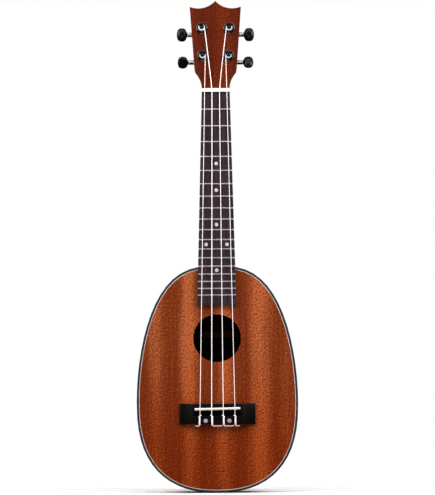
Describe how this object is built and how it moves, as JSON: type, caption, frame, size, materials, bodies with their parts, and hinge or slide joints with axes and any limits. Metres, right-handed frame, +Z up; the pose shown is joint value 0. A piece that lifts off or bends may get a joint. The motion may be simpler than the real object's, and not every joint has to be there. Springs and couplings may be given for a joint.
{
  "type": "ukulele",
  "caption": "Concert ukulele with a pear-shaped bound body, round soundhole, tie bridge, fretted neck and worm-geared tuning machines that turn.",
  "frame": {"origin": "on the outer face of the flat back, on the centreline, straight behind the saddle", "axes": "+Z up the centreline to the headstock, -Y out of the soundboard, +X to the right of someone facing the soundboard"},
  "size_m": [0.1924, 0.0776, 0.5866],
  "materials": {
    "body_wood": "satin lacquer over red-brown ribbon-figured wood",
    "neck_wood": "satin lacquer over darker red-brown wood",
    "fretboard_wood": "oiled dark wood",
    "black_wood": "oiled black wood",
    "lining_wood": "bare pale wood, inside the body",
    "black_plastic": "polished black",
    "white_plastic": "smooth, bone coloured",
    "nylon": "smooth white nylon",
    "fret_wire": "polished nickel silver",
    "steel": "satin bolt cap",
    "chrome": "mirror plated",
    "brass": "plain, inside the tuner case"
  },
  "bodies": {
    "instrument": {"soundboard": "body_wood", "back_plate": "body_wood", "side_band": "body_wood", "top_lining": "lining_wood", "back_lining": "lining_wood", "neck_block": "lining_wood", "tail_block": "lining_wood", "top_brace": "lining_wood", "back_brace": "lining_wood", "top_binding": "black_plastic", "back_binding": "black_plastic", "neck": "neck_wood", "fretboard": "fretboard_wood", "string_nut": "white_plastic", "bridge": "black_wood", "saddle": "white_plastic", "bridge_bolt_left": "steel", "bridge_bolt_right": "steel", "fret_01": "fret_wire", "fret_02": "fret_wire", "fret_03": "fret_wire", "fret_04": "fret_wire", "fret_05": "fret_wire", "fret_06": "fret_wire", "fret_07": "fret_wire", "fret_08": "fret_wire", "fret_09": "fret_wire", "fret_10": "fret_wire", "fret_11": "fret_wire", "fret_12": "fret_wire", "fret_13": "fret_wire", "fret_14": "fret_wire", "fret_15": "fret_wire", "fret_16": "fret_wire", "fret_17": "fret_wire", "fret_18": "fret_wire", "string_g": "nylon", "string_c": "nylon", "string_e": "nylon", "string_a": "nylon", "tuner_housing_upper_left": "chrome", "tuner_bushing_upper_left": "chrome", "tuner_housing_upper_right": "chrome", "tuner_bushing_upper_right": "chrome", "tuner_housing_lower_left": "chrome", "tuner_bushing_lower_left": "chrome", "tuner_housing_lower_right": "chrome", "tuner_bushing_lower_right": "chrome"},
    "knob_upper_left": {"tuner_worm_upper_left": "brass", "tuner_button_upper_left": "black_plastic"},
    "post_upper_left": {"tuner_post_upper_left": "chrome"},
    "knob_upper_right": {"tuner_worm_upper_right": "brass", "tuner_button_upper_right": "black_plastic"},
    "post_upper_right": {"tuner_post_upper_right": "chrome"},
    "knob_lower_left": {"tuner_worm_lower_left": "brass", "tuner_button_lower_left": "black_plastic"},
    "post_lower_left": {"tuner_post_lower_left": "chrome"},
    "knob_lower_right": {"tuner_worm_lower_right": "brass", "tuner_button_lower_right": "black_plastic"},
    "post_lower_right": {"tuner_post_lower_right": "chrome"}
  },
  "joints": [
    {"name": "knob_turn_upper_left", "type": "hinge", "parent": "instrument", "child": "knob_upper_left", "pos_m": [-0.0164, -0.03621, 0.44632], "axis": [1, 0, 0], "continuous": true},
    {"name": "post_turn_upper_left", "type": "hinge", "parent": "instrument", "child": "post_upper_left", "pos_m": [-0.0164, -0.05032, 0.45389], "axis": [0, -0.9848, 0.1736], "continuous": true},
    {"name": "knob_turn_upper_right", "type": "hinge", "parent": "instrument", "child": "knob_upper_right", "pos_m": [0.0164, -0.03621, 0.44632], "axis": [1, 0, 0], "continuous": true},
    {"name": "post_turn_upper_right", "type": "hinge", "parent": "instrument", "child": "post_upper_right", "pos_m": [0.0164, -0.05032, 0.45389], "axis": [0, -0.9848, 0.1736], "continuous": true},
    {"name": "knob_turn_lower_left", "type": "hinge", "parent": "instrument", "child": "knob_lower_left", "pos_m": [-0.0154, -0.04207, 0.41314], "axis": [1, 0, 0], "continuous": true},
    {"name": "post_turn_lower_left", "type": "hinge", "parent": "instrument", "child": "post_lower_left", "pos_m": [-0.0154, -0.05617, 0.4207], "axis": [0, -0.9848, 0.1736], "continuous": true},
    {"name": "knob_turn_lower_right", "type": "hinge", "parent": "instrument", "child": "knob_lower_right", "pos_m": [0.0154, -0.04207, 0.41314], "axis": [1, 0, 0], "continuous": true},
    {"name": "post_turn_lower_right", "type": "hinge", "parent": "instrument", "child": "post_lower_right", "pos_m": [0.0154, -0.05617, 0.4207], "axis": [0, -0.9848, 0.1736], "continuous": true}
  ],
  "couplings": [
    {"joint": "post_turn_upper_left", "follows": "knob_turn_upper_left", "ratio": -0.071429},
    {"joint": "post_turn_upper_right", "follows": "knob_turn_upper_right", "ratio": -0.071429},
    {"joint": "post_turn_lower_left", "follows": "knob_turn_lower_left", "ratio": -0.071429},
    {"joint": "post_turn_lower_right", "follows": "knob_turn_lower_right", "ratio": -0.071429}
  ]
}
